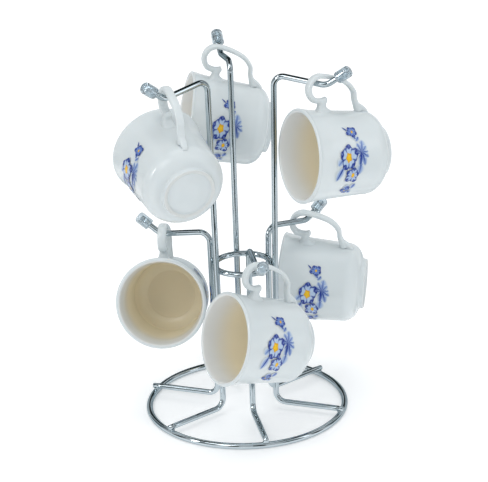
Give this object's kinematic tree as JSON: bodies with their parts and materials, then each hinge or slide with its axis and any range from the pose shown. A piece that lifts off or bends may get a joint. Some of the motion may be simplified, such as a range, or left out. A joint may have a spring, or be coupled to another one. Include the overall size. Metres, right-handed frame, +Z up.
{
  "type": "mug tree",
  "caption": "Wire mug tree: a chromed stand with two tiers of upturned hooks on a round base, each holding a glazed mug by its handle.",
  "frame": {"origin": "centre of the base ring, on the surface that it rests on", "axes": "+Z up, -Y towards the front lower mug, +X to the right"},
  "size_m": [0.2203, 0.2154, 0.2944],
  "materials": {
    "chrome_wire": "polished",
    "cap_plastic": "clear gloss",
    "mug_glaze": "gloss glaze"
  },
  "bodies": {
    "stand": {"base_ring": "chrome_wire", "middle_ring": "chrome_wire", "tall_wire_right": "chrome_wire", "tall_wire_left": "chrome_wire", "tall_wire_back": "chrome_wire", "short_wire_right": "chrome_wire", "short_wire_left": "chrome_wire", "short_wire_front": "chrome_wire", "tall_right_cap": "cap_plastic", "tall_left_cap": "cap_plastic", "tall_back_cap": "cap_plastic", "short_right_cap": "cap_plastic", "short_left_cap": "cap_plastic", "short_front_cap": "cap_plastic"},
    "upper_right_mug": {"upper_right_cup": "mug_glaze", "upper_right_handle": "mug_glaze"},
    "upper_left_mug": {"upper_left_cup": "mug_glaze", "upper_left_handle": "mug_glaze"},
    "upper_back_mug": {"upper_back_cup": "mug_glaze", "upper_back_handle": "mug_glaze"},
    "lower_right_mug": {"lower_right_cup": "mug_glaze", "lower_right_handle": "mug_glaze"},
    "lower_left_mug": {"lower_left_cup": "mug_glaze", "lower_left_handle": "mug_glaze"},
    "lower_front_mug": {"lower_front_cup": "mug_glaze", "lower_front_handle": "mug_glaze"}
  },
  "joints": [
    {"name": "upper_right_mug_lift", "type": "slide", "parent": "stand", "child": "upper_right_mug", "axis": [0.5592, 0, 0.829], "range_m": [0, 0.008]},
    {"name": "upper_left_mug_lift", "type": "slide", "parent": "stand", "child": "upper_left_mug", "axis": [-0.6463, -0.1732, 0.7431], "range_m": [0, 0.0344]},
    {"name": "upper_back_mug_lift", "type": "slide", "parent": "stand", "child": "upper_back_mug", "axis": [-0.2376, 0.6528, 0.7193], "range_m": [0, 0.036]},
    {"name": "lower_right_mug_lift", "type": "slide", "parent": "stand", "child": "lower_right_mug", "axis": [0.5567, 0.3214, 0.766], "range_m": [0, 0.0095]},
    {"name": "lower_left_mug_lift", "type": "slide", "parent": "stand", "child": "lower_left_mug", "axis": [-0.669, -0.0117, 0.7431], "range_m": [0, 0.0356]},
    {"name": "lower_front_mug_lift", "type": "slide", "parent": "stand", "child": "lower_front_mug", "axis": [-0.1249, -0.7084, 0.6947], "range_m": [0, 0.0403]}
  ]
}
